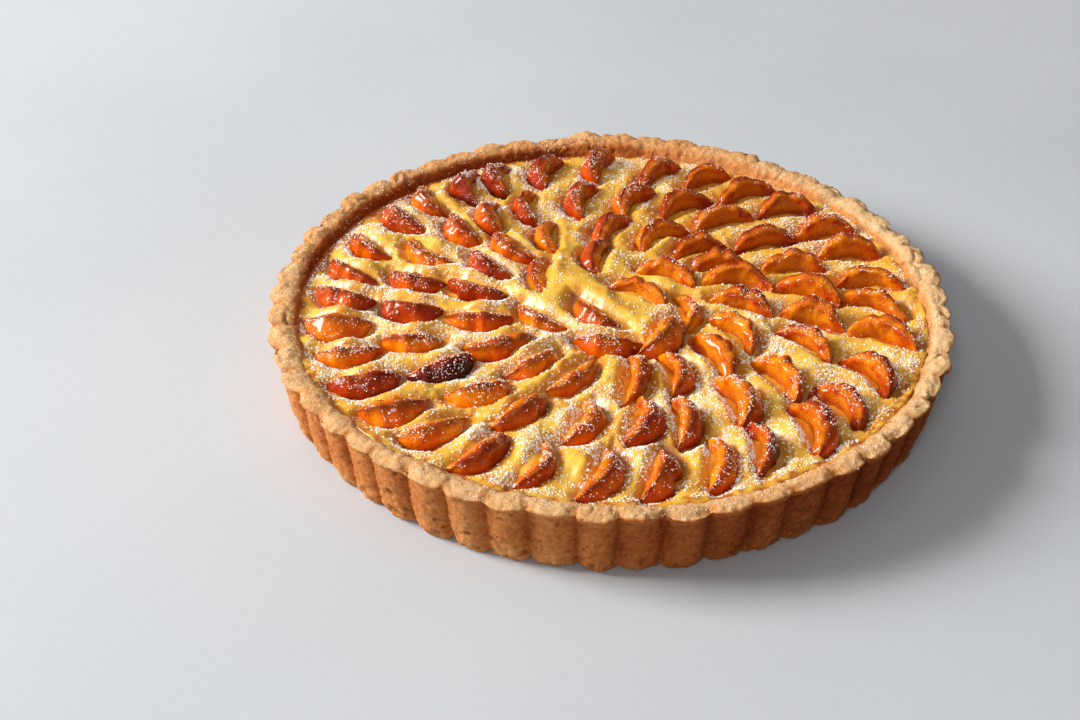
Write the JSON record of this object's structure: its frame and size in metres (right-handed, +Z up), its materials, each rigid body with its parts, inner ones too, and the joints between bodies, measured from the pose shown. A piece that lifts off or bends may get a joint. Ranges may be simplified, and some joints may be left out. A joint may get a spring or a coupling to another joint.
{
  "type": "mirabelle plum tart",
  "caption": "Round open fruit tart in a fluted shortcrust case, with baked custard, halved golden plums standing in rings and a dusting of sugar.",
  "frame": {"origin": "middle of the flat underside, on the resting plane", "axes": "+Z up along the tart's height, +X to the right and -Y towards the viewer of the picture"},
  "size_m": [0.2804, 0.2806, 0.0348],
  "materials": {
    "shortcrust": "golden baked shortcrust, dry, sandy and pitted, paler on the rim and browner inside",
    "custard": "set egg custard, bright yellow, smooth and slightly moist, stained ochre with juice beside the fruit",
    "plum": "baked plum, glossy and translucent, orange flesh and skin running to red and purple"
  },
  "bodies": {
    "root": {"crust": "shortcrust", "custard": "custard", "plum_ring1_01": "plum", "plum_ring1_02": "plum", "plum_ring1_03": "plum", "plum_ring1_04": "plum", "plum_ring1_05": "plum", "plum_ring1_06": "plum", "plum_ring1_07": "plum", "plum_ring1_08": "plum", "plum_ring1_09": "plum", "plum_ring1_10": "plum", "plum_ring1_11": "plum", "plum_ring1_12": "plum", "plum_ring1_13": "plum", "plum_ring1_14": "plum", "plum_ring1_15": "plum", "plum_ring1_16": "plum", "plum_ring1_17": "plum", "plum_ring1_18": "plum", "plum_ring1_19": "plum", "plum_ring1_20": "plum", "plum_ring1_21": "plum", "plum_ring1_22": "plum", "plum_ring1_23": "plum", "plum_ring1_24": "plum", "plum_ring1_25": "plum", "plum_ring1_26": "plum", "plum_ring1_27": "plum", "plum_ring1_28": "plum", "plum_ring1_29": "plum", "plum_ring1_30": "plum", "plum_ring1_31": "plum", "plum_ring1_32": "plum", "plum_ring2_01": "plum", "plum_ring2_02": "plum", "plum_ring2_03": "plum", "plum_ring2_04": "plum", "plum_ring2_05": "plum", "plum_ring2_06": "plum", "plum_ring2_07": "plum", "plum_ring2_08": "plum", "plum_ring2_09": "plum", "plum_ring2_10": "plum", "plum_ring2_11": "plum", "plum_ring2_12": "plum", "plum_ring2_13": "plum", "plum_ring2_14": "plum", "plum_ring2_15": "plum", "plum_ring2_16": "plum", "plum_ring2_17": "plum", "plum_ring2_18": "plum", "plum_ring2_19": "plum", "plum_ring2_20": "plum", "plum_ring2_21": "plum", "plum_ring2_22": "plum", "plum_ring2_23": "plum", "plum_ring2_24": "plum"}
  },
  "joints": []
}
